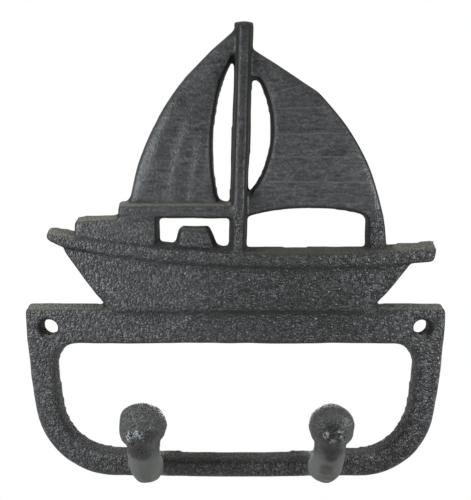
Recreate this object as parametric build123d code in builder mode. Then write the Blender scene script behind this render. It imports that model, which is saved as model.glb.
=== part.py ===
from build123d import *
import os

# Sailboat hook rack, one sand casting. Millimetres, X to the right, Z up, front towards -Y.
# The wall plane is Y = 0 and the origin lies midway between the two screw holes.

# Draft and edges of the casting
wall_draft = 8.0
mast_draft = 10.0
edge_bevel = 0.6

# Bucket-shaped frame
frame_width = 167.6
frame_foot_width = 154.0
frame_height = 73.3
frame_depth = 7.0
top_bar_height = 15.8
bottom_bar_height = 8.8
limb_width = 11.2
limb_foot_width = 9.6
side_bow = 2.0
frame_foot_bow = 1.2
window_foot_bow = 4.3
frame_shoulder_round = 2.2
frame_left_foot_round = 33.0
frame_right_foot_round = 30.0
window_shoulder_round = 9.5
window_foot_round = 22.0

# Screw holes in the top corners of the frame
hole_diameter = 7.0
hole_flare = 1.5
hole_side_inset = 9.4
hole_drop = 8.8

# Hull, standing on the top bar
hull_depth = 8.5
hull_lap = 2.6
keel_bow_x = -49.8
keel_stern_x = 53.6
bow_head_x = -68.5
bow_head_rise = 1.0
stern_head_x = 69.9
stern_head_drop = 5.0
bow_bulge = 0.5

# Sheer rail round the top of the hull
freeboard = 22.9
sheer_low_x = 24.0
bow_rise = 8.3
stern_rise = 2.6
bow_tip_x = -73.9
stern_tip_x = 78.8
rail_depth = 10.0
rail_height = 7.2
bow_tip_height = 4.6
bow_tip_run = 6.8
bow_tip_cut = 3.4
stern_tip_height = 7.8
stern_tip_lean = 1.2

# Cabin, boom and hatch
cabin_depth = 8.0
cabin_front_x = -63.0
cabin_back_x = -30.0
cabin_height = 13.2
cabin_roof_fall = 0.9
cabin_round = 2.4
boom_depth = 8.8
boom_end_x = -46.0
boom_clearance = 11.8
boom_height = 6.6
boom_round = 2.0
hatch_depth = 6.5
hatch_left_x = -25.2
hatch_right_x = -5.6
hatch_height = 8.6
hatch_lean_left = 3.6
hatch_lean_right = 4.8
hatch_round = 2.4
deck_lap = 3.0

# Mast, raked a little to the right
mast_depth = 9.5
mast_width = 7.2
mast_base_x = 0.8
mast_rake = 2.5
mast_height = 86.0

# Left sail, on the boom
left_sail_depth = 6.0
left_peak_drop = 0.8
left_throat_drop = 13.4
left_leech_foot_x = -41.3
left_leech_bulge_x = -25.7
left_leech_bulge_rise = 38.8
left_luff_foot_x = -6.4
left_luff_bulge_x = -8.8
left_luff_bulge_rise = 24.0
left_luff_round = 2.6
clew_flare = 2.0

# Folds of the left sail: rise over the boom and share of the way from leech to luff, at head and foot
fold_width = 2.0
fold_height = 0.6
fold_draft = 30.0
folds = (
    ((37.4, 0.25), (8.6, 0.21)),
    ((37.0, 0.63), (2.4, 0.50)),
    ((24.6, 0.89), (2.6, 0.73)),
)

# Raised patch at the head of the left sail
patch_drop = 12.0
patch_height = 0.8
patch_inset = 1.6

# Right sail, on the mast and on its own leg
right_sail_depth = 5.8
right_peak_drop = 7.8
right_throat_drop = 21.4
right_tack_rise = 22.0
right_foot_rise = 15.9
right_foot_end_rise = 13.0
right_foot_start_rise = 11.4
right_foot_mid_x = 27.5
knuckle_x = 31.9
knuckle_drop = 25.6
right_leech_mid_x = 47.9
right_leech_mid_drop = 46.4
leg_outer_x = 59.7
leg_inner_x = 51.6
leg_corner_round = 3.4
right_luff_top_x = 8.8
right_luff_bulge_x = 13.7
right_luff_bulge_drop = 41.6
right_slit_round = 2.0

# Seams of the right sail: share of the way down its luff, and rise from luff to leech
seam_width = 1.0
seam_height = 0.4
seam_luff_gap = 3.2
seam_leech_gap = 4.6
seams = (
    (0.13, 2.8),
    (0.27, 0.8),
    (0.49, 0.4),
    (0.69, 0.0),
    (0.91, -0.2),
)

# How far the folds, the patch and the seams reach into their sail
relief_lap = 0.5

# Hooks on the bottom bar, both leaning a little to the right
hook_spacing = 70.4
hook_reach = 26.0
hook_root_rise = 2.5
hook_rise = 25.4
hook_lean = 1.6
hook_root_depth = 2.0
arm_diameter = 11.8
bend_radius = 23.0
ball_diameter = 16.8

# Levels that several pieces share
bar_top = hole_drop
frame_bottom = bar_top - frame_height
window_top = bar_top - top_bar_height
window_bottom = frame_bottom + bottom_bar_height
sheer_z = bar_top + freeboard
deck_foot = sheer_z - deck_lap
boom_bottom = sheer_z + boom_clearance
boom_top = boom_bottom + boom_height
mast_head = sheer_z + mast_height


def mast_axis_x(z):
    """Place of the raked mast's middle at a height."""
    return mast_base_x + mast_rake * (z - deck_foot) / (mast_head - deck_foot)


def x_at(edges, z):
    """Place of an outline at a height, from the edge that reaches it."""
    level = Axis((0, z, 0), (1, 0, 0))
    return [point.X for edge in edges for point in edge.find_intersection_points(level)][0]


def relief(outline, depth, openings=(), angle=wall_draft):
    """Drafted block standing on the wall plane, with drafted openings and bevelled front edges."""
    with BuildPart() as block:
        extrude(outline, amount=depth)
        for opening in openings:
            extrude(opening, amount=depth, mode=Mode.SUBTRACT)
        walls = block.faces().sort_by(Axis.Y)[1:-1]
        draft(walls, neutral_plane=Plane.XZ, angle=angle)
        front = block.faces().sort_by(Axis.Y)[0]
        chamfer(front.edges(), edge_bevel)
    return block.part


def bucket_outline(top_half, foot_half, top, bottom, foot_bow, shoulder, left_corner, right_corner):
    """Closed outline with bowed sides, a bowed foot and rounded corners."""
    foot = bottom + foot_bow
    middle_x = (top_half + foot_half) / 2 + side_bow
    middle_z = (top + foot) / 2
    with BuildSketch(Plane.XZ) as outline:
        with BuildLine():
            ThreePointArc((foot_half, foot), (0, bottom), (-foot_half, foot))
            ThreePointArc((-foot_half, foot), (-middle_x, middle_z), (-top_half, top))
            Line((-top_half, top), (top_half, top))
            ThreePointArc((top_half, top), (middle_x, middle_z), (foot_half, foot))
        make_face()
        fillet(outline.vertices().sort_by_distance((foot_half, foot))[0], right_corner)
        fillet(outline.vertices().sort_by_distance((-foot_half, foot))[0], left_corner)
        fillet(outline.vertices().group_by(Axis.Y)[-1], shoulder)
    return outline.sketch


# Frame with its window and flared screw holes
outer = bucket_outline(
    frame_width / 2,
    frame_foot_width / 2,
    bar_top,
    frame_bottom,
    frame_foot_bow,
    frame_shoulder_round,
    frame_left_foot_round,
    frame_right_foot_round,
)
window = bucket_outline(
    frame_width / 2 - limb_width,
    frame_foot_width / 2 - limb_foot_width,
    window_top,
    window_bottom,
    window_foot_bow,
    window_shoulder_round,
    window_foot_round,
    window_foot_round,
)
hole_x = frame_width / 2 - hole_side_inset
with BuildSketch(Plane.XZ) as hole_outline:
    with Locations((-hole_x, 0), (hole_x, 0)):
        Circle(hole_diameter / 2)
with BuildPart() as frame:
    add(relief(outer, frame_depth, [window]))
    extrude(hole_outline.sketch, amount=frame_depth, mode=Mode.SUBTRACT)
    rims = frame.edges(Select.LAST).filter_by(GeomType.CIRCLE).group_by(Axis.Y)[0]
    chamfer(rims, hole_flare)

# Hull
keel_z = bar_top - hull_lap
bow_head_z = sheer_z + bow_head_rise
stern_head_z = sheer_z - stern_head_drop
with BuildSketch(Plane.XZ) as hull_outline:
    with BuildLine():
        bow_middle = ((keel_bow_x + bow_head_x) / 2 - bow_bulge, (keel_z + bow_head_z) / 2)
        ThreePointArc((keel_bow_x, keel_z), bow_middle, (bow_head_x, bow_head_z))
        Polyline((bow_head_x, bow_head_z), (stern_head_x, stern_head_z), (keel_stern_x, keel_z))
        Line((keel_stern_x, keel_z), (keel_bow_x, keel_z))
    make_face()
hull = relief(hull_outline.sketch, hull_depth)

# Sheer rail with its overhanging tips
bow_top = sheer_z + bow_rise
stern_top = sheer_z + stern_rise
with BuildSketch(Plane.XZ) as rail_outline:
    with BuildLine():
        bow_foot = (bow_tip_x + bow_tip_run, bow_top - bow_tip_height - bow_tip_cut)
        stern_foot = (stern_tip_x - stern_tip_lean, stern_top - stern_tip_height)
        ThreePointArc((bow_tip_x, bow_top), (sheer_low_x, sheer_z), (stern_tip_x, stern_top))
        ThreePointArc(bow_foot, (mast_base_x, sheer_z - rail_height), stern_foot)
        Polyline(bow_foot, (bow_tip_x, bow_top - bow_tip_height), (bow_tip_x, bow_top))
        Line(stern_foot, (stern_tip_x, stern_top))
    make_face()
rail = relief(rail_outline.sketch, rail_depth)

# Cabin
roof = sheer_z + cabin_height
with BuildSketch(Plane.XZ) as cabin_outline:
    with BuildLine():
        Polyline(
            (cabin_front_x, deck_foot),
            (cabin_front_x, roof - cabin_roof_fall),
            (boom_end_x, roof),
            (cabin_back_x, roof),
            (cabin_back_x, deck_foot),
            close=True,
        )
    make_face()
    fillet(cabin_outline.vertices().group_by(Axis.X)[0].sort_by(Axis.Y)[-1], cabin_round)
cabin = relief(cabin_outline.sketch, cabin_depth)

# Boom
with BuildSketch(Plane.XZ) as boom_outline:
    with Locations((boom_end_x, boom_bottom)):
        Rectangle(mast_base_x - boom_end_x, boom_height, align=(Align.MIN, Align.MIN))
    fillet(boom_outline.vertices().group_by(Axis.X)[0], boom_round)
boom = relief(boom_outline.sketch, boom_depth)

# Hatch on the deck
hatch_top = sheer_z + hatch_height
with BuildSketch(Plane.XZ) as hatch_outline:
    with BuildLine():
        Polyline(
            (hatch_left_x, deck_foot),
            (hatch_left_x + hatch_lean_left, hatch_top),
            (hatch_right_x - hatch_lean_right, hatch_top),
            (hatch_right_x, deck_foot),
            close=True,
        )
    make_face()
    fillet(hatch_outline.vertices().group_by(Axis.Y)[-1], hatch_round)
hatch = relief(hatch_outline.sketch, hatch_depth)

# Mast
with BuildSketch(Plane.XZ) as mast_outline:
    with BuildLine():
        half = mast_width / 2
        foot_x = mast_axis_x(deck_foot)
        head_x = mast_axis_x(mast_head)
        Polyline(
            (foot_x - half, deck_foot),
            (head_x - half, mast_head),
            (head_x + half, mast_head),
            (foot_x + half, deck_foot),
            close=True,
        )
    make_face()
mast = relief(mast_outline.sketch, mast_depth, angle=mast_draft)

# Left sail, with the slit between its luff and the mast
left_peak = mast_head - left_peak_drop
left_throat = mast_head - left_throat_drop
sail_foot = boom_top - boom_height / 2
with BuildSketch(Plane.XZ) as left_sail_outline:
    with BuildLine():
        peak = (mast_axis_x(left_peak), left_peak)
        leech_foot = (left_leech_foot_x, boom_top)
        leech_bulge = (left_leech_bulge_x, boom_top + left_leech_bulge_rise)
        left_leech = ThreePointArc(peak, leech_bulge, leech_foot)
        Polyline(leech_foot, (left_leech_foot_x, sail_foot), (mast_axis_x(sail_foot), sail_foot), peak)
    make_face()
with BuildSketch(Plane.XZ) as left_slit:
    with BuildLine():
        throat = (mast_axis_x(left_throat) - mast_width / 2, left_throat)
        luff_foot = (left_luff_foot_x, boom_top)
        luff_bulge = (left_luff_bulge_x, boom_top + left_luff_bulge_rise)
        left_luff = ThreePointArc(throat, luff_bulge, luff_foot)
        mast_foot = (mast_axis_x(boom_top), boom_top)
        mast_throat = (mast_axis_x(left_throat), left_throat)
        Polyline(luff_foot, mast_foot, mast_throat, throat)
    make_face()
    fillet(left_slit.vertices().sort_by(Axis.X)[0], left_luff_round)
left_sail = relief(left_sail_outline.sketch, left_sail_depth, [left_slit.sketch])

# Small flare where the leech comes down on the boom
with BuildSketch(Plane.XZ) as clew_outline:
    with BuildLine():
        flare_top = boom_top + clew_flare
        flare_left = left_leech_foot_x - clew_flare
        CenterArc((flare_left, flare_top), clew_flare, 270, 90)
        Polyline((flare_left, boom_top), (flare_left, sail_foot), (left_leech_foot_x + clew_flare, sail_foot))
        Line((left_leech_foot_x + clew_flare, sail_foot), (left_leech_foot_x, flare_top))
    make_face()
with BuildPart() as clew:
    extrude(clew_outline.sketch, amount=left_sail_depth - edge_bevel, taper=wall_draft)


def fold_point(rise, share):
    """Point of the left sail by its rise over the boom and its share of the way from leech to luff."""
    z = boom_top + rise
    leech_x = x_at([left_leech], z)
    return (leech_x + share * (x_at([left_luff], z) - leech_x), z)


# Folds and head patch, raised on the left sail
left_sail_face = Plane.XZ.offset(left_sail_depth - relief_lap)
fold_ribs = []
for (head_rise, head_share), (foot_rise, foot_share) in folds:
    head = fold_point(head_rise, head_share)
    foot = fold_point(foot_rise, foot_share)
    middle_x, middle_z = fold_point((head_rise + foot_rise) / 2, (head_share + foot_share) / 2)
    with BuildSketch(left_sail_face) as fold_outline:
        with BuildLine():
            ThreePointArc(head, (middle_x - fold_width / 2, middle_z), foot)
            ThreePointArc(foot, (middle_x + fold_width / 2, middle_z), head)
        make_face()
    with BuildPart() as rib:
        extrude(fold_outline.sketch, amount=relief_lap + fold_height)
        draft(rib.faces().sort_by(Axis.Y)[1:-1], neutral_plane=left_sail_face, angle=fold_draft)
    fold_ribs.append(rib.part)
patch_foot = mast_head - patch_drop
with BuildSketch(left_sail_face) as patch_outline:
    with BuildLine():
        Polyline(
            (x_at([left_leech], patch_foot) + patch_inset, patch_foot),
            (mast_axis_x(patch_foot), patch_foot),
            (mast_axis_x(left_peak), left_peak - patch_inset),
            close=True,
        )
    make_face()
with BuildPart() as patch:
    extrude(patch_outline.sketch, amount=relief_lap + patch_height, taper=wall_draft)

# Right sail on its leg, with the slit at its luff and the window under its foot
right_peak = mast_head - right_peak_drop
right_throat = mast_head - right_throat_drop
right_tack = sheer_z + right_tack_rise
foot_start_z = sheer_z + right_foot_start_rise
with BuildSketch(Plane.XZ) as right_sail_outline:
    with BuildLine():
        peak = (mast_axis_x(right_peak), right_peak)
        knuckle = (knuckle_x, mast_head - knuckle_drop)
        leg_foot = (leg_outer_x, deck_foot)
        upper_leech = Line(peak, knuckle)
        lower_leech = ThreePointArc(knuckle, (right_leech_mid_x, mast_head - right_leech_mid_drop), leg_foot)
        Polyline(leg_foot, (mast_axis_x(deck_foot), deck_foot), peak)
    make_face()
with BuildSketch(Plane.XZ) as right_slit:
    with BuildLine():
        tack = (mast_axis_x(right_tack) + mast_width / 2, right_tack)
        luff_top = (right_luff_top_x, right_throat)
        right_luff = ThreePointArc(tack, (right_luff_bulge_x, mast_head - right_luff_bulge_drop), luff_top)
        mast_throat = (mast_axis_x(right_throat), right_throat)
        mast_tack = (mast_axis_x(right_tack), right_tack)
        Polyline(luff_top, mast_throat, mast_tack, tack)
    make_face()
    fillet(right_slit.vertices().group_by(Axis.Y)[-1].sort_by(Axis.X)[-1], right_slit_round)
with BuildSketch(Plane.XZ) as foot_window:
    with BuildLine():
        leg_corner = (leg_inner_x, sheer_z + right_foot_end_rise)
        foot_start = (mast_axis_x(foot_start_z), foot_start_z)
        ThreePointArc(foot_start, (right_foot_mid_x, sheer_z + right_foot_rise), leg_corner)
        Polyline(leg_corner, (leg_inner_x, deck_foot), (mast_axis_x(deck_foot), deck_foot), foot_start)
    make_face()
    fillet(foot_window.vertices().group_by(Axis.X)[-1].sort_by(Axis.Y)[-1], leg_corner_round)
right_sail = relief(right_sail_outline.sketch, right_sail_depth, [right_slit.sketch, foot_window.sketch])

# Seams, raised on the right sail
with BuildSketch(Plane.XZ.offset(right_sail_depth - relief_lap)) as seam_outlines:
    for share, rise in seams:
        luff_z = right_throat - share * (right_throat - right_tack)
        leech_z = luff_z + rise
        luff_x = x_at([right_luff], luff_z) + seam_luff_gap
        leech_x = x_at([upper_leech, lower_leech], leech_z) - seam_leech_gap
        with BuildLine():
            Polyline(
                (luff_x, luff_z),
                (leech_x, leech_z),
                (leech_x, leech_z + seam_width),
                (luff_x, luff_z + seam_width),
                close=True,
            )
        make_face()
with BuildPart() as seam_ribs:
    extrude(seam_outlines.sketch, amount=relief_lap + seam_height)

# Hooks: a round arm out of the bottom bar, bent upwards, with a ball on its end
root_z = frame_bottom + bottom_bar_height / 2 + hook_root_rise
bend_z = root_z + bend_radius
ball_z = root_z + hook_rise
bend_axis = Axis((0, bend_radius - hook_reach, bend_z), (1, 0, 0))


def hook_at(x):
    """One hook: out of the bar, through a quarter bend, up to its ball, and leaned about its root."""
    with BuildPart() as hook:
        with BuildSketch(Plane.XY.offset(bend_z)) as section:
            with Locations((x, -hook_reach)):
                Circle(arm_diameter / 2)
        extrude(section.sketch, amount=ball_z - bend_z)
        revolve(section.sketch, axis=bend_axis, revolution_arc=90)
        bend_end = hook.faces().sort_by(Axis.Y)[-1]
        extrude(bend_end, amount=hook_reach - bend_radius - hook_root_depth)
        with Locations((x, -hook_reach, ball_z)):
            Sphere(ball_diameter / 2)
    return hook.part.rotate(Axis((x, 0, root_z), (0, 1, 0)), hook_lean)


left_hook = hook_at(-hook_spacing / 2)
right_hook = hook_at(hook_spacing / 2)

with BuildPart() as rack_casting:
    add(frame.part)
    for block in (hull, rail, cabin, boom, hatch, mast, left_sail, right_sail):
        add(block)
    for trim in (clew.part, *fold_ribs, patch.part, seam_ribs.part, left_hook, right_hook):
        add(trim)

rack_casting.part.label = "rack_casting"
os.makedirs("parts", exist_ok=True)
export_step(rack_casting.part, "parts/rack_casting.step")
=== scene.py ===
import math

import bpy
import numpy as np
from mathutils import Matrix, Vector, noise


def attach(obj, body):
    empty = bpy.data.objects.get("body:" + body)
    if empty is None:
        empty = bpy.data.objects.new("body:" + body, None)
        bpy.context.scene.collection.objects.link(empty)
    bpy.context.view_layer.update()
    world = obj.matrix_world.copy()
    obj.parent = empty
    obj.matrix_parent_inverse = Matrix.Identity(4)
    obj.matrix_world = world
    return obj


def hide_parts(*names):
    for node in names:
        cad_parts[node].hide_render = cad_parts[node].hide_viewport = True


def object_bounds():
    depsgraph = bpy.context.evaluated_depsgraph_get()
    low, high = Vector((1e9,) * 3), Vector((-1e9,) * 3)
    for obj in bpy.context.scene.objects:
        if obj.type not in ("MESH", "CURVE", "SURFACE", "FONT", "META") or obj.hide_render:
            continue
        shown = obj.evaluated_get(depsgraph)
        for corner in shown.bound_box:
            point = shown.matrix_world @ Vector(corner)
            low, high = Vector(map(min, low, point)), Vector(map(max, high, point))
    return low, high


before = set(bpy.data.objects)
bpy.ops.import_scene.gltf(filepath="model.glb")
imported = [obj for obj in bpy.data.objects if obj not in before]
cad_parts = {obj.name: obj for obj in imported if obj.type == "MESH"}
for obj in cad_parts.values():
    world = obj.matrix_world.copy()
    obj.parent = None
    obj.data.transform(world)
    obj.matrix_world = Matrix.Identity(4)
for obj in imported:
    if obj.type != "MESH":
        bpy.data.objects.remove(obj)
cad_low, cad_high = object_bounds()
scene = bpy.context.scene
scene.view_settings.view_transform = "Standard"

MM = 0.001

# Skin of the casting: cell of its faces, and the gap within which points of the solid are joined
skin_cell = 0.69 * MM
weld_gap = 0.01 * MM

# Softening: share of the way to the neighbours, rounds, and depths in millimetres over which it sets in
soften_share = 0.5
soften_rounds = 5
rim_fade = (0.4, 1.6)
back_fade = (0.0, 1.0)

# Evening of the cells: rounds of one step forward and a slightly longer one back, which keeps the form
even_rounds = 14
even_back = -0.53

# Growth of the walls to the side, in millimetres, and the axes that it moves
side_growth = 0.25
side_axes = (1.0, 0.0, 1.0)

# Zones in millimetres: low corner, high corner and width of the soft border
foot_zone = ((-26.0, -9.0, -63.0), (26.0, 1.0, -50.0), 4.0)
limb_zone = ((-90.0, -9.0, -70.0), (90.0, 1.0, -6.0), 2.5)
left_sail_zone = ((-50.0, -7.5, 52.0), (-4.0, 1.0, 106.0), 2.0)
right_sail_zone = ((8.0, -7.5, 46.0), (70.0, 1.0, 112.0), 2.0)
hook_zone = ((-60.0, -40.0, -75.0), (60.0, -9.5, -15.0), 2.5)
ledge_zone = ((-62.0, -12.0, 28.0), (-1.0, 1.0, 38.5), 2.0)
aft_ledge_zone = ((-1.0, -12.0, 27.0), (62.0, 1.0, 37.0), 2.0)
sail_foot_zone = ((-50.0, -10.0, 47.5), (60.0, 1.0, 54.0), 2.0)
house_zone = ((-64.0, -14.0, 36.0), (-3.0, 1.0, 47.5), 2.0)
bow_zone = ((-90.0, -14.0, 8.0), (-15.0, 1.0, 40.0), 30.0)
# Zone of painted shade over the middle of the hull
dim_shade_zone = ((-10.0, -14.0, -8.0), (52.0, 1.0, 38.0), 32.0)
mast_zone = ((-5.0, -14.0, 36.0), (11.0, -6.5, 120.0), 3.0)
rail_shadow_zone = ((-67.0, -14.0, 20.0), (72.0, -6.5, 40.0), 1.0)

# Where parts begin, in millimetres: sails and balls by their height, right half and stern by their width
sail_start = (40.0, 52.0)
ball_start = (-45.0, -40.0)
right_start = (-1.0, 1.0)
stern_start = (0.0, 50.0)

# Zones that the sand softens further: zone, rounds and the depth in millimetres at which it is full
softer_zones = (
    (limb_zone, 16, 3.5),
    (left_sail_zone, 24, 2.5),
    (right_sail_zone, 14, 2.5),
)

# Corners that the sand rounds further: centre and reach, in millimetres, and rounds
round_corners = (
    ((-35.2, -6.0, -57.6), 9.0, 50),
    ((35.2, -6.0, -57.6), 9.0, 50),
    ((-50.5, -4.0, 9.5), 7.0, 40),
    ((54.3, -4.0, 9.5), 7.0, 40),
    ((-25.4, -4.0, 33.5), 5.0, 30),
    ((-5.4, -4.0, 33.0), 5.0, 30),
    ((-72.5, -5.0, 37.5), 7.0, 12),
    ((78.5, -5.0, 34.0), 5.0, 10),
    ((77.5, -5.0, 27.0), 5.0, 10),
    ((-1.2, -5.0, 117.0), 5.0, 8),
    ((6.6, -5.0, 117.0), 5.0, 8),
    ((-45.5, -5.0, 49.0), 5.0, 8),
    ((-62.0, -5.0, 43.5), 5.0, 8),
    ((-3.5, -4.0, 112.0), 5.0, 30),
)

# Share of a corner's reach that is rounded in full, and the margin in millimetres that keeps its neighbours
corner_core = 0.6
corner_margin = 2.0

# Unevenness of the sand mould: wave length and height, in millimetres, and the step from noise to noise
waves = ((26.0, 0.25), (8.0, 0.16))
pebble_wave = (2.4, 0.08)
ball_wave = (3.2, 0.30)
noise_step = (31.7, 12.9, 57.3)

# Folds of the left sail and seams of the right sail: half width, height and points, in millimetres
fold_half = 2.6
fold_height = 0.44
folds = (
    ((-21.7, 87.5), (-28.5, 73.1), (-32.9, 58.7)),
    ((-14.3, 87.1), (-20.6, 69.8), (-23.9, 52.5)),
    ((-11.5, 74.7), (-14.3, 63.7), (-16.2, 52.7)),
)
seam_half = 0.9
seam_height = 0.03
seams = (
    ((14.6, 91.3), (24.9, 94.1)),
    ((16.3, 85.3), (33.4, 86.1)),
    ((16.9, 75.9), (40.6, 76.3)),
    ((15.4, 67.4), (45.6, 67.4)),
    ((11.1, 58.0), (49.7, 57.8)),
)

# Depths between which the fronts of the sails lie, in millimetres
sail_front = (-6.9, -5.2)

# Painted shadow under the sheer rail: three places on its curve, in millimetres
rail_shadow_curve = ((-67.1, 32.5), (0.8, 25.0), (77.6, 27.0))

# Distance in millimetres up to which seams and the painted rail shadow are measured
line_reach = 3.0

# Lumps and pits of the balls: centre, reach and height, in millimetres
ball_lumps = (
    ((-34.5, -35.0, -33.0), 7.0, -0.9),
    ((-41.0, -27.0, -26.2), 4.0, 1.2),
    ((-36.8, -27.0, -23.8), 1.8, -0.7),
    ((-33.0, -27.0, -23.8), 3.0, 0.3),
    ((-27.0, -28.0, -29.5), 3.6, 0.6),
    ((-31.5, -33.0, -29.0), 1.8, -0.6),
    ((-42.0, -28.5, -35.0), 3.6, 0.6),
    ((-38.6, -33.0, -34.0), 2.0, 0.9),
    ((-37.4, -33.4, -35.4), 1.1, -0.8),
    ((-33.6, -34.0, -34.0), 2.2, 0.8),
    ((-27.5, -28.5, -38.0), 2.6, -0.9),
    ((35.9, -35.0, -33.0), 7.0, -0.7),
    ((33.0, -34.0, -35.0), 2.0, 0.6),
    ((38.5, -34.0, -34.6), 2.0, 0.7),
    ((32.0, -27.0, -24.5), 4.0, -0.3),
    ((43.0, -28.0, -28.0), 3.0, 0.2),
)

# Places where the walls stand further out or in: centre, reach and growth, in millimetres
wall_shifts = (
    ((59.5, -3.0, -51.5), 8.0, -1.0),
    ((-52.0, -3.0, -53.0), 9.0, 0.3),
    ((-71.0, -5.0, 39.5), 7.0, 0.35),
    ((80.0, -5.0, 31.0), 5.0, 0.6),
    ((35.0, -3.0, 89.0), 8.0, -0.45),
    ((-15.0, -3.0, 104.0), 12.0, -0.25),
    ((9.5, -3.0, 59.0), 7.0, -0.45),
    ((-3.5, -3.0, 97.0), 9.0, -0.4),
    ((60.0, -3.0, 42.0), 9.0, 0.35),
    ((-23.0, -3.0, 38.0), 4.0, 0.5),
    ((-81.0, -3.0, -25.0), 16.0, 0.3),
    ((80.0, -3.0, -25.0), 16.0, 0.3),
)

# Painted shade spots of the hooks: centre, reach in millimetres and strength
shade_spots = (
    ((-36.5, -33.0, -35.0), 5.0, 0.85),
    ((-37.5, -31.0, -39.5), 4.2, 1.0),
    ((-34.0, -31.0, -41.0), 3.2, 0.9),
    ((-32.0, -33.5, -33.0), 3.6, 0.7),
    ((35.0, -34.0, -33.5), 6.6, 0.9),
    ((35.4, -32.0, -38.5), 4.4, 1.0),
    ((35.5, -30.5, -42.0), 2.8, 0.9),
    ((34.0, -28.5, -48.0), 2.6, 0.7),
    ((34.0, -26.5, -51.4), 3.0, 0.85),
    ((34.2, -23.6, -54.8), 3.0, 0.8),
)

# Painted highlights of the balls: centre, reach in millimetres and strength
highlight_spots = (
    ((-38.4, -33.5, -33.0), 2.4, 0.9),
    ((-36.4, -34.0, -31.4), 2.0, 0.7),
    ((-34.6, -34.0, -32.0), 1.6, 0.5),
    ((32.8, -34.0, -32.0), 1.7, 0.9),
    ((37.8, -34.0, -31.6), 1.8, 1.0),
    ((35.2, -34.0, -34.4), 1.4, 0.6),
    ((39.4, -33.5, -34.4), 1.2, 0.5),
)

# Shares of a spot's reach within which it is full, and at which it ends
shade_core = 0.5
highlight_core = 0.4
spot_end = 1.2

# Facings: the part of a normal, into the wall or up, over which a share of the skin sets in
back_facing = (0.5, 0.9)
side_facing = (-0.95, -0.6)
limb_side_facing = (-0.7, -0.3)
seam_facing = -0.5
pebble_facing = (0.5, 0.9)
upward_facing = (0.55, 0.95)
ledge_facing = (0.3, 0.8)
foot_facing = (0.1, 0.6)

# Sand grain: share of it that the smoother parts lose
grain_loss = {"sail": 0.6, "hook": 0.35, "right_hook": 0.25, "arm": 0.75, "house": 0.45, "bow": 0.25}

# Speckle, bump and pebbles of the grain: plain strength, and what a part adds to it or takes from it
speckle_share = {"plain": 0.75, "stern": 0.25}
relief_share = {"plain": 1.7, "sail": -0.7, "stern": 0.5, "ball": 0.7, "right_ball": -0.4}
pebble_share = {"plain": 1.0, "sail": -0.6, "limb": 0.9, "ball": 1.4, "right_ball": -0.84}

# Painted top light, an olive tint on upper walls, and painted shade on side walls and creases: what parts
# lose of it, and what they have
top_lit_loss = {"limb": 0.9, "aft_ledge": 0.5}
side_shade_loss = {"ledge": 0.5, "left_sail": 0.45}
side_shade_share = {"limb": 0.5, "foot": 0.6}
crease_loss = {"sail_foot": 0.8, "ledge": 0.5}
crease_share = {"plain": 0.35, "ledge": 0.1}

# Hollows that count as creases: rounds of softening that find them, and their depth in millimetres
hollow_rounds = 16
hollow_depth = (0.01, 0.10)

# Painted shade as a dark tone, and painted light as the grey tint of the hooks: share that a part has
dim_shade_share = {"mast": 0.35, "ball": 0.2, "right_ball": 0.55}
hook_light_share = {"hook": 0.2, "arm": 0.6}


def skin_over(solid):
    """Closed skin of small even faces over a solid."""
    piece = bpy.data.objects.new("rack_casting_skin", solid.data.copy())
    scene.collection.objects.link(piece)
    weld = piece.modifiers.new("weld", "WELD")
    weld.merge_threshold = weld_gap
    grid = piece.modifiers.new("grid", "REMESH")
    grid.mode = "VOXEL"
    grid.voxel_size = skin_cell
    graph = bpy.context.evaluated_depsgraph_get()
    made = bpy.data.meshes.new_from_object(piece.evaluated_get(graph))
    piece.modifiers.clear()
    piece.data = made
    return piece


def read(group, name, width):
    """Values of a mesh's points or edges as rows."""
    kind = int if name == "vertices" else float
    values = np.empty(len(group) * width, dtype=kind)
    group.foreach_get(name, values)
    return values.reshape(-1, width)


def write_places(mesh, places):
    """Places in millimetres, put back into a mesh."""
    mesh.vertices.foreach_set("co", (places * MM).ravel())
    mesh.update()


def ramp(value, start, end):
    """0 before start, 1 after end, with a smooth way between."""
    share = np.clip((value - start) / (end - start), 0.0, 1.0)
    return share * share * (3.0 - 2.0 * share)


def inside(places, zone):
    """1 within a zone and 0 outside, with a smooth border."""
    low, high, border = zone
    share = np.ones(len(places))
    for axis in range(3):
        share *= ramp(places[:, axis], low[axis] - border / 2, low[axis] + border / 2)
        share *= 1.0 - ramp(places[:, axis], high[axis] - border / 2, high[axis] + border / 2)
    return share


def way_to(places, centre):
    """Distance of each place to a centre."""
    return np.linalg.norm(places - np.array(centre), axis=1)


def way_to_line(flat, start, end):
    """Distance of each flat place to a straight line."""
    start = np.array(start)
    run = np.array(end) - start
    along = np.clip((flat - start) @ run / (run @ run), 0.0, 1.0)
    return np.linalg.norm(flat - start - along[:, None] * run, axis=1)


def soften(places, edges, share, rounds):
    """Places drawn towards the middle of their neighbours, by a share for each and some rounds."""
    count = len(places)
    first, second = edges.T
    neighbours = np.bincount(edges.ravel(), minlength=count)
    for _ in range(rounds):
        middle = np.empty_like(places)
        for axis in range(3):
            total = np.bincount(first, places[second, axis], count)
            total += np.bincount(second, places[first, axis], count)
            middle[:, axis] = total / neighbours
        places = places + share[:, None] * (middle - places)
    return places


def soften_on_wall(places, edges, share, rounds):
    """Softening that leaves the flat back on the wall."""
    moved = soften(places, edges, share, rounds)
    moved[:, 1] = places[:, 1] + (moved[:, 1] - places[:, 1]) * ramp(-places[:, 1], *back_fade)
    return moved


def soften_near(places, edges, centre, reach, rounds):
    """Softening of the skin within reach of a place."""
    way = way_to(places, centre)
    kept = np.flatnonzero(way < reach + corner_margin)
    row = np.full(len(places), -1)
    row[kept] = np.arange(len(kept))
    near_edges = row[edges]
    near_edges = near_edges[(near_edges >= 0).all(axis=1)]
    share = soften_share * (1.0 - ramp(way[kept], corner_core * reach, reach))
    places = places.copy()
    places[kept] = soften_on_wall(places[kept], near_edges, share, rounds)
    return places


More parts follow.
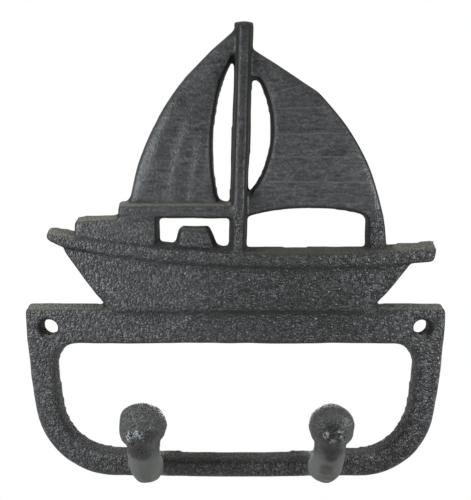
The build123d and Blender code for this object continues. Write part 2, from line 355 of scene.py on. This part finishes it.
def softened(places, edges):
    """Places of the skin with even cells and with rims, zones and corners rounded as by sand."""
    for _ in range(even_rounds):
        for share in (soften_share, even_back):
            places = soften_on_wall(places, edges, np.full(len(places), share), 1)
    off_wall = ramp(-places[:, 1], *rim_fade)
    places = soften(places, edges, soften_share * off_wall, soften_rounds)
    for zone, rounds, full_depth in softer_zones:
        off_wall = ramp(-places[:, 1], rim_fade[0], full_depth)
        places = soften(places, edges, soften_share * off_wall * inside(places, zone), rounds)
    for centre, reach, rounds in round_corners:
        places = soften_near(places, edges, centre, reach, rounds)
    return places


def parts_at(places):
    """Share of each part of the casting at each place, by name."""
    hook = inside(places, hook_zone)
    arm = hook * (1.0 - ramp(places[:, 2], *ball_start))
    sail = ramp(places[:, 2], *sail_start)
    return {
        "limb": inside(places, limb_zone),
        "ledge": inside(places, ledge_zone),
        "hook": hook,
        "arm": arm,
        "ball": hook - arm,
        "sail": sail,
        "right": ramp(places[:, 0], *right_start),
        "stern": ramp(places[:, 0], *stern_start) * (1.0 - sail) * (1.0 - hook),
    }


def grain_at(places, on):
    """Share of the sand grain."""
    hook_loss = grain_loss["hook"] + grain_loss["right_hook"] * on["right"]
    grain = 1.0 - grain_loss["sail"] * on["sail"]
    grain *= (1.0 - hook_loss * on["hook"]) * (1.0 - grain_loss["arm"] * on["arm"])
    grain *= 1.0 - grain_loss["house"] * inside(places, house_zone)
    grain *= 1.0 - grain_loss["bow"] * inside(places, bow_zone)
    return grain


def relief_at(on, grain):
    """Strength of the bump of the grain."""
    plain = relief_share["plain"] + relief_share["sail"] * on["sail"] + relief_share["stern"] * on["stern"]
    ball = relief_share["ball"] + relief_share["right_ball"] * on["right"]
    return grain * plain + ball * on["ball"]


def pebbles_at(normals, on, grain):
    """Strength of the pebbles that stand out from the fronts and the balls."""
    front = pebble_share["plain"] + pebble_share["sail"] * on["sail"] + pebble_share["limb"] * on["limb"]
    ball = pebble_share["ball"] + pebble_share["right_ball"] * on["right"]
    return grain * front * ramp(-normals[:, 1], *pebble_facing) + ball * on["ball"]


def top_lit_at(places, normals, on):
    """Share of painted top light, an olive tint, on walls that face up."""
    top_lit_olive = ramp(normals[:, 2], *upward_facing) * (1.0 - on["hook"]) * (1.0 - on["ledge"])
    top_lit_olive *= 1.0 - top_lit_loss["limb"] * on["limb"]
    return top_lit_olive * (1.0 - top_lit_loss["aft_ledge"] * inside(places, aft_ledge_zone))


def side_shade_at(places, normals, on):
    """Share of painted shade on walls that face sideways."""
    off_back = 1.0 - ramp(normals[:, 1], *back_facing)
    wall_shade = ramp(normals[:, 1], *side_facing) * (1.0 - on["limb"]) * (1.0 - on["hook"]) * off_back
    wall_shade *= 1.0 - side_shade_loss["ledge"] * on["ledge"] * ramp(normals[:, 2], *ledge_facing)
    wall_shade *= 1.0 - side_shade_loss["left_sail"] * inside(places, left_sail_zone)
    limb_shade = side_shade_share["limb"] * on["limb"] * ramp(normals[:, 1], *limb_side_facing) * off_back
    foot_shade = side_shade_share["foot"] * inside(places, foot_zone) * ramp(normals[:, 2], *foot_facing)
    return np.maximum(wall_shade, np.maximum(limb_shade, foot_shade))


def crease_shade_at(places, normals, edges, on):
    """Share of painted shade in the creases of the relief and on the ledge of the rail."""
    smooth = soften(places, edges, np.full(len(places), soften_share), hollow_rounds)
    hollow = np.sum((smooth - places) * normals, axis=1)
    crease_shade = ramp(hollow, *hollow_depth) * (1.0 - on["limb"])
    crease_shade *= 1.0 - crease_loss["sail_foot"] * inside(places, sail_foot_zone)
    crease_shade *= 1.0 - crease_loss["ledge"] * on["ledge"]
    ledge_shade = crease_share["ledge"] * on["ledge"] * ramp(normals[:, 2], *ledge_facing)
    return np.maximum(crease_share["plain"] * crease_shade, ledge_shade)


def dim_shade_at(places, on):
    """Share of painted shade, a dark tone, on the middle of the hull, the mast and the balls."""
    dim_shade = np.maximum(inside(places, dim_shade_zone), dim_shade_share["mast"] * inside(places, mast_zone))
    return np.maximum(dim_shade, (dim_shade_share["ball"] + dim_shade_share["right_ball"] * on["right"]) * on["ball"])


def spots_at(places, spots, core):
    """Strength of round spots, full in their core and gone a little past their reach."""
    strongest = np.zeros(len(places))
    for centre, reach, strength in spots:
        fading = ramp(way_to(places, centre), core * reach, spot_end * reach)
        strongest = np.maximum(strongest, strength * (1.0 - fading))
    return strongest


def seam_way(places, normals):
    """Distance across the nearest seam on the front, with a sign for its side."""
    flat = places[:, [0, 2]]
    nearest = np.full(len(places), line_reach)
    for start, end in seams:
        way = way_to_line(flat, start, end)
        run = np.array(end) - np.array(start)
        offset = flat - np.array(start)
        side = np.sign(run[0] * offset[:, 1] - run[1] * offset[:, 0])
        nearest = np.where(way < np.abs(nearest), way * side, nearest)
    return np.where(normals[:, 1] < seam_facing, nearest, line_reach)


def rail_shadow_way(places):
    """Height over the curve of the painted shadow under the rail."""
    curve = np.polyfit(*zip(*rail_shadow_curve), 2)
    over = np.clip(places[:, 2] - np.polyval(curve, places[:, 0]), -line_reach, line_reach)
    return np.where(inside(places, rail_shadow_zone) > 0.5, over, line_reach)


def skin_shares(places, normals, edges, on, grain):
    """Shares that the material finds at the points of the skin, by name."""
    return {
        "top_lit": top_lit_at(places, normals, on),
        "side_shade": side_shade_at(places, normals, on),
        "crease_shade": crease_shade_at(places, normals, edges, on),
        "grain": grain,
        "hook": hook_light_share["hook"] * on["hook"] + hook_light_share["arm"] * on["arm"],
        "dim_shade": dim_shade_at(places, on),
        "seam": seam_way(places, normals),
        "rail_shadow": rail_shadow_way(places),
        "shade_spot": spots_at(places, shade_spots, shade_core),
        "painted_highlight": spots_at(places, highlight_spots, highlight_core),
        "relief": relief_at(on, grain),
        "speckle": grain * (speckle_share["plain"] + speckle_share["stern"] * on["stern"]),
    }


def noise_at(places, length, turn):
    """Smooth noise of a wave length at each place, a different one for each turn."""
    shift = Vector([step * turn for step in noise_step])
    return np.array([noise.noise(Vector(place) / length + shift) for place in places])


def swells(places, table):
    """Sum of soft round swells, each with a centre, a reach and a height."""
    total = np.zeros(len(places))
    for centre, reach, height in table:
        total += height * np.exp(-((way_to(places, centre) / reach) ** 2))
    return total


def ridge_height(places, lines, half, height):
    """Height of soft ridges along lines on the sails' fronts, in millimetres."""
    flat = places[:, [0, 2]]
    on_front = (places[:, 1] > sail_front[0]) & (places[:, 1] < sail_front[1])
    total = np.zeros(len(places))
    for line in lines:
        ways = [way_to_line(flat, start, end) for start, end in zip(line, line[1:])]
        total += height * np.exp(-((np.min(ways, axis=0) / half) ** 2))
    return total * on_front


def skin_height(places, pebbles, on_hook):
    """Height of the skin over the plain solid at each place, in millimetres."""
    height = swells(places, ball_lumps)
    height += ridge_height(places, folds, fold_half, fold_height)
    height += ridge_height(places, seams, seam_half, seam_height)
    everywhere = np.ones(len(places))
    layers = [(wave, everywhere) for wave in waves]
    layers += [(pebble_wave, pebbles), (ball_wave, on_hook)]
    for turn, ((length, size), share) in enumerate(layers):
        height += size * share * noise_at(places, length, turn)
    return height


def skin_moves(places, normals, pebbles, on_hook):
    """Way of each place from the plain solid to the uneven skin, in millimetres."""
    moves = normals * skin_height(places, pebbles, on_hook)[:, None]
    growth = side_growth + swells(places, wall_shifts)
    moves += normals * growth[:, None] * side_axes
    moves[:, 1] *= ramp(-places[:, 1], *rim_fade)
    return moves


skin = skin_over(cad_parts["rack_casting"])
mesh = skin.data
edges = read(mesh.edges, "vertices", 2)
places = softened(read(mesh.vertices, "co", 3) / MM, edges)
write_places(mesh, places)
normals = read(mesh.vertices, "normal", 3)
on = parts_at(places)
grain = grain_at(places, on)
uneven = places + skin_moves(places, normals, pebbles_at(normals, on, grain), on["hook"])
write_places(mesh, np.clip(uneven, np.array(cad_low) / MM, np.array(cad_high) / MM))
mesh.shade_smooth()
for name, values in skin_shares(places, normals, edges, on, grain).items():
    mesh.attributes.new(name, "FLOAT", "POINT").data.foreach_set("value", values)

# Colours of the cast iron
pit_colour = (0.006, 0.006, 0.006)
top_colour = (0.132, 0.134, 0.140)
plain_colour = (0.081, 0.083, 0.085)
streak_colour = (0.016, 0.016, 0.016)
patch_colour = (0.024, 0.024, 0.025)
# Painted light: lighter grey of the hooks, most on the arms, for the light they catch from below
lit_hook_colour = (0.106, 0.110, 0.102)
# Painted highlight: light flecks on the balls' fronts, where the light glints
highlight_colour = (0.30, 0.305, 0.33)
# Painted shade: near-black standing in for shade on side walls, in creases, in the spots of the hooks and
# under the rail
shade_colour = (0.010, 0.010, 0.009)
# Painted top light: olive tint of walls that face up, standing in for the light from above
top_lit_colour = (0.122, 0.122, 0.106)
top_lit_pit_colour = (0.072, 0.072, 0.062)
# Painted shade: the dark middle of the hull, the mast and the balls
dim_shade_colour = (0.004, 0.004, 0.004)
seam_colour = (0.086, 0.087, 0.085)

# Sand grains: number to the metre, softness of their domes, how few of them are light, and bump in metres
grain_scale = 1300.0
dome_softness = 0.6
lightness_power = 3.0
bump_depth = 0.00034

# Streaks and patches of tone: number to the metre, finer waves, stretch, and the range of noise they take
streak_scale = 900.0
streak_detail = 2.0
streak_stretch = (0.2, 1.0, 1.0)
streak_range = (0.3, 0.7)
patch_scale = 70.0
patch_detail = 3.0
patch_range = (0.35, 0.65)
patch_strength = 0.5
noise_roughness = 0.6

# Strength of the painted shade, and the range of chance over which a fleck of painted highlight is light
dim_shade_strength = 0.85
highlight_fleck_range = (0.2, 0.9)

# Lines on the skin, the seams and the painted shadow under the rail: name, strength, half width in
# millimetres and colour, and the half width of their core
skin_lines = (
    ("seam", 0.5, 0.4, seam_colour),
    ("rail_shadow", 0.8, 0.65, shade_colour),
)
line_core = 0.1

# Roughness of the fronts, of their painted-shade middle, of the painted shade spots and of dull walls, and
# the plain sheen
front_roughness = 0.38
dim_shade_roughness = 0.29
spot_roughness = 0.32
dull_roughness = 1.0
sheen_level = 0.30

# Dullness of the hooks and of skin with little grain: range of the share, and dullness at its two ends
whole = (0.0, 1.0)
hook_range = (0.0, 0.8)
hook_dullness = (0.0, 0.7)
grain_range = (0.3, 1.0)
grain_dullness = (0.15, 0.0)


def node(tree, kind, **inputs):
    """New node with its plain inputs set by name."""
    made = tree.nodes.new(kind)
    for name, value in inputs.items():
        made.inputs[name].default_value = value
    return made


def worked_out(tree, operation, first, second=0.0):
    """Result of an operation on a linked value and a linked or plain one."""
    made = tree.nodes.new("ShaderNodeMath")
    made.operation = operation
    tree.links.new(first, made.inputs[0])
    if isinstance(second, float):
        made.inputs[1].default_value = second
    else:
        tree.links.new(second, made.inputs[1])
    return made.outputs[0]


def spread(tree, value, span, result=whole):
    """Value taken from one range to another and held at its ends."""
    made = tree.nodes.new("ShaderNodeMapRange")
    for name, limit in zip(("From Min", "From Max", "To Min", "To Max"), (*span, *result)):
        made.inputs[name].default_value = limit
    tree.links.new(value, made.inputs["Value"])
    return made.outputs["Result"]


def share_of(tree, name):
    """Share that the skin carries at its points under a name."""
    made = tree.nodes.new("ShaderNodeAttribute")
    made.attribute_name = name
    return made.outputs["Fac"]


def noise_tone(tree, where, scale, detail):
    """Noise with a number of waves to the metre and some finer ones."""
    made = node(tree, "ShaderNodeTexNoise", Scale=scale, Detail=detail, Roughness=noise_roughness)
    tree.links.new(where, made.inputs["Vector"])
    return made.outputs["Fac"]


def blend_values(tree, share, first, second):
    """Value between a linked one and a plain one, by a share."""
    mix = node(tree, "ShaderNodeMix", B=second)
    tree.links.new(share, mix.inputs["Factor"])
    tree.links.new(first, mix.inputs["A"])
    return mix.outputs["Result"]


def blend_colours(tree, share, first, second):
    """Colour between two, by a share."""
    mix = tree.nodes.new("ShaderNodeMix")
    mix.data_type = "RGBA"
    tree.links.new(share, mix.inputs["Factor"])
    for socket, colour in ((mix.inputs["A"], first), (mix.inputs["B"], second)):
        if isinstance(colour, tuple):
            socket.default_value = (*colour, 1.0)
        else:
            tree.links.new(colour, socket)
    return mix.outputs["Result"]


def blend_shaders(tree, share, first, second):
    """Shader between two, by a share."""
    mix = tree.nodes.new("ShaderNodeMixShader")
    tree.links.new(share, mix.inputs["Fac"])
    tree.links.new(first.outputs[0], mix.inputs[1])
    tree.links.new(second.outputs[0], mix.inputs[2])
    return mix.outputs[0]


def sand_grains(tree, where):
    """Three chances that each sand grain has, and the height of its dome."""
    grains = node(tree, "ShaderNodeTexVoronoi", Scale=grain_scale)
    domes = node(tree, "ShaderNodeTexVoronoi", Scale=grain_scale)
    domes.feature = "SMOOTH_F1"
    domes.inputs["Smoothness"].default_value = dome_softness
    for texture in (grains, domes):
        tree.links.new(where, texture.inputs["Vector"])
    chance = tree.nodes.new("ShaderNodeSeparateColor")
    tree.links.new(grains.outputs["Color"], chance.inputs["Color"])
    return chance.outputs, domes.outputs["Distance"]


def front_colour(tree, where, chance):
    """Colour of the fronts: speckled by the grains or streaked, with slow patches of tone."""
    lightness = worked_out(tree, "POWER", chance["Red"], lightness_power)
    speckled = blend_colours(tree, lightness, pit_colour, top_colour)
    drawn_out = tree.nodes.new("ShaderNodeVectorMath")
    drawn_out.operation = "MULTIPLY"
    drawn_out.inputs[1].default_value = streak_stretch
    tree.links.new(where, drawn_out.inputs[0])
    streaks = noise_tone(tree, drawn_out.outputs[0], streak_scale, streak_detail)
    streaky = blend_colours(tree, spread(tree, streaks, streak_range), streak_colour, plain_colour)
    colour = blend_colours(tree, share_of(tree, "speckle"), streaky, speckled)
    tone = noise_tone(tree, where, patch_scale, patch_detail)
    patchy = spread(tree, tone, patch_range, (0.0, patch_strength))
    return blend_colours(tree, patchy, colour, patch_colour)


def iron_colour(tree, where, chance):
    """Colour of the skin: fronts with their seams and the painted shadow under the rail, hooks greyed by
    painted light, painted highlights on the balls, painted shade on side walls, creases and spots, and
    painted top light on upper walls.
    """
    colour = front_colour(tree, where, chance)
    dim_shaded = spread(tree, share_of(tree, "dim_shade"), whole, (0.0, dim_shade_strength))
    colour = blend_colours(tree, dim_shaded, colour, dim_shade_colour)
    for name, strength, half, line_colour in skin_lines:
        across = worked_out(tree, "ABSOLUTE", share_of(tree, name))
        line = spread(tree, across, (line_core, half), (strength, 0.0))
        colour = blend_colours(tree, line, colour, line_colour)
    highlight_flecks = blend_colours(tree, spread(tree, chance["Blue"], highlight_fleck_range), shade_colour, highlight_colour)
    top_lit_olive = blend_colours(tree, chance["Green"], top_lit_pit_colour, top_lit_colour)
    layers = (
        ("hook", lit_hook_colour),
        ("shade_spot", shade_colour),
        ("painted_highlight", highlight_flecks),
        ("side_shade", shade_colour),
        ("top_lit", top_lit_olive),
        ("crease_shade", shade_colour),
    )
    for name, layer_colour in layers:
        colour = blend_colours(tree, share_of(tree, name), colour, layer_colour)
    return colour


def iron_roughness(tree):
    """Roughness of the skin: dull walls and hooks, glossier painted-shade middle and painted shade spots.
    """
    hook_dull = spread(tree, share_of(tree, "hook"), hook_range, hook_dullness)
    grain_dull = spread(tree, share_of(tree, "grain"), grain_range, grain_dullness)
    dull = worked_out(tree, "MAXIMUM", share_of(tree, "side_shade"), hook_dull)
    dull = worked_out(tree, "MAXIMUM", dull, grain_dull)
    front = spread(tree, share_of(tree, "dim_shade"), whole, (front_roughness, dim_shade_roughness))
    rough = blend_values(tree, dull, front, dull_roughness)
    return blend_values(tree, share_of(tree, "shade_spot"), rough, spot_roughness)


def iron_material():
    """Dark sand-cast iron: pebbled fronts, painted top light on upper walls, painted shade on side walls.
    """
    material = bpy.data.materials.new("cast_iron")
    material.use_nodes = True
    tree = material.node_tree
    shader = tree.nodes["Principled BSDF"]
    where = tree.nodes.new("ShaderNodeTexCoord").outputs["Object"]
    chance, dome_height = sand_grains(tree, where)
    bump = node(tree, "ShaderNodeBump", Distance=bump_depth)
    bump.invert = True
    tree.links.new(share_of(tree, "relief"), bump.inputs["Strength"])
    tree.links.new(dome_height, bump.inputs["Height"])
    tree.links.new(bump.outputs["Normal"], shader.inputs["Normal"])
    tree.links.new(iron_colour(tree, where, chance), shader.inputs["Base Color"])
    tree.links.new(iron_roughness(tree), shader.inputs["Roughness"])
    shader.inputs["Specular IOR Level"].default_value = sheen_level
    return material


skin.data.materials.clear()
skin.data.materials.append(iron_material())
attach(skin, "root")
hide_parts("rack_casting")

# Soft lamps: name, place and target in metres, side in metres, watts and colour
rack_middle = (0.0, 0.0, 0.02)
hooks_middle = (0.0, -0.03, -0.035)
lamps = (
    ("top_light", (0.0, 0.05, 0.85), rack_middle, 0.6, 5.8, (1.0, 0.98, 0.92)),
    ("left_light", (-0.215, -0.14, 0.09), rack_middle, 0.16, 1.02, (0.92, 0.97, 1.0)),
    ("right_light", (0.24, -0.10, 0.05), rack_middle, 0.05, 0.68, (0.96, 0.98, 1.0)),
    ("back_light", (0.0, 0.60, -0.05), rack_middle, 0.3, 2.4, (1.0, 0.99, 0.97)),
    ("low_left_light", (-0.20, -0.26, -0.18), hooks_middle, 0.05, 0.11, (1.0, 1.0, 1.0)),
    ("low_right_light", (0.13, -0.35, -0.125), hooks_middle, 0.05, 0.11, (1.0, 1.0, 1.0)),
)


def area_light(name, place, target, side, watts, colour):
    """Square soft light at a place, turned to a target."""
    data = bpy.data.lights.new(name, "AREA")
    data.size = side
    data.energy = watts
    data.color = colour
    lamp = bpy.data.objects.new(name, data)
    lamp.location = place
    lamp.rotation_euler = (Vector(target) - Vector(place)).to_track_quat("-Z", "Y").to_euler()
    lamp.visible_camera = False
    scene.collection.objects.link(lamp)


for row in lamps:
    area_light(*row)

# Light of the surroundings: the dim room in front, the glow on all surfaces, and where the white begins
white = (1.0, 1.0, 1.0, 1.0)
room_light = 0.05
glow_light = 0.10
glow_colour = (0.95, 0.98, 1.0, 1.0)
white_start = (0.3, 0.7)

# Floor: half its side and its depth under the origin, in metres, its paint, and how it turns white
floor_half = 3.0
floor_drop = 0.30
floor_paint = (0.9, 0.9, 0.9, 1.0)
floor_white = 0.6
floor_fade = (0.25, 0.34)


def shown_rays(tree):
    """Rays that show a surface straight to the eye, and these with rays from mirrors and through glass."""
    rays = tree.nodes.new("ShaderNodeLightPath").outputs
    seen = rays["Is Camera Ray"]
    mirrored = worked_out(tree, "MAXIMUM", seen, rays["Is Glossy Ray"])
    return seen, worked_out(tree, "MAXIMUM", mirrored, rays["Is Transmission Ray"])


def studio_world():
    """White surroundings behind the object, a dim room in front and a soft glow on all surfaces."""
    world = bpy.data.worlds.new("studio")
    world.use_nodes = True
    tree = world.node_tree
    tree.nodes.clear()
    seen, shown = shown_rays(tree)
    heading = tree.nodes.new("ShaderNodeSeparateXYZ")
    tree.links.new(tree.nodes.new("ShaderNodeTexCoord").outputs["Generated"], heading.inputs["Vector"])
    behind = spread(tree, heading.outputs["Y"], white_start, (room_light, 1.0))
    plain = node(tree, "ShaderNodeBackground", Color=white)
    tree.links.new(worked_out(tree, "MAXIMUM", behind, seen), plain.inputs["Strength"])
    glow = node(tree, "ShaderNodeBackground", Color=glow_colour, Strength=glow_light)
    output = tree.nodes.new("ShaderNodeOutputWorld")
    tree.links.new(blend_shaders(tree, shown, glow, plain), output.inputs["Surface"])
    return world


def floor_material():
    """Pale paint that takes the object's shadow, and plain white further off."""
    material = bpy.data.materials.new("floor")
    material.use_nodes = True
    tree = material.node_tree
    tree.nodes.clear()
    shown = shown_rays(tree)[1]
    reach = tree.nodes.new("ShaderNodeVectorMath")
    reach.operation = "LENGTH"
    tree.links.new(tree.nodes.new("ShaderNodeTexCoord").outputs["Object"], reach.inputs[0])
    fading = spread(tree, reach.outputs["Value"], floor_fade, (floor_white, 1.0))
    share = worked_out(tree, "MULTIPLY", shown, fading)
    paint = node(tree, "ShaderNodeBsdfDiffuse", Color=floor_paint)
    plain = node(tree, "ShaderNodeEmission", Color=white, Strength=1.0)
    output = tree.nodes.new("ShaderNodeOutputMaterial")
    tree.links.new(blend_shaders(tree, share, paint, plain), output.inputs["Surface"])
    return material


def studio_floor():
    """Square floor, well below the object."""
    square = bpy.data.meshes.new("floor")
    signs = ((-1, -1), (1, -1), (1, 1), (-1, 1))
    square.from_pydata([(floor_half * x, floor_half * y, 0.0) for x, y in signs], [], [(0, 1, 2, 3)])
    square.materials.append(floor_material())
    piece = bpy.data.objects.new("floor", square)
    piece.location.z = -floor_drop
    scene.collection.objects.link(piece)
    return piece


scene.world = studio_world()
floor = studio_floor()

# Camera of the photograph: place in metres, tilt in degrees, sensor in millimetres, and lens in pixels
camera_place = (0.0, -0.240, 0.06816)
camera_tilt = 81.105
sensor_width = 36.0
lens_pixels = 607.0
longer_side_pixels = 500.0

camera_data = bpy.data.cameras.new("camera")
camera_data.sensor_width = sensor_width
camera_data.lens = lens_pixels / longer_side_pixels * sensor_width
camera = bpy.data.objects.new("camera", camera_data)
camera.location = camera_place
camera.rotation_euler = (math.radians(camera_tilt), 0.0, 0.0)
scene.collection.objects.link(camera)
scene.camera = camera
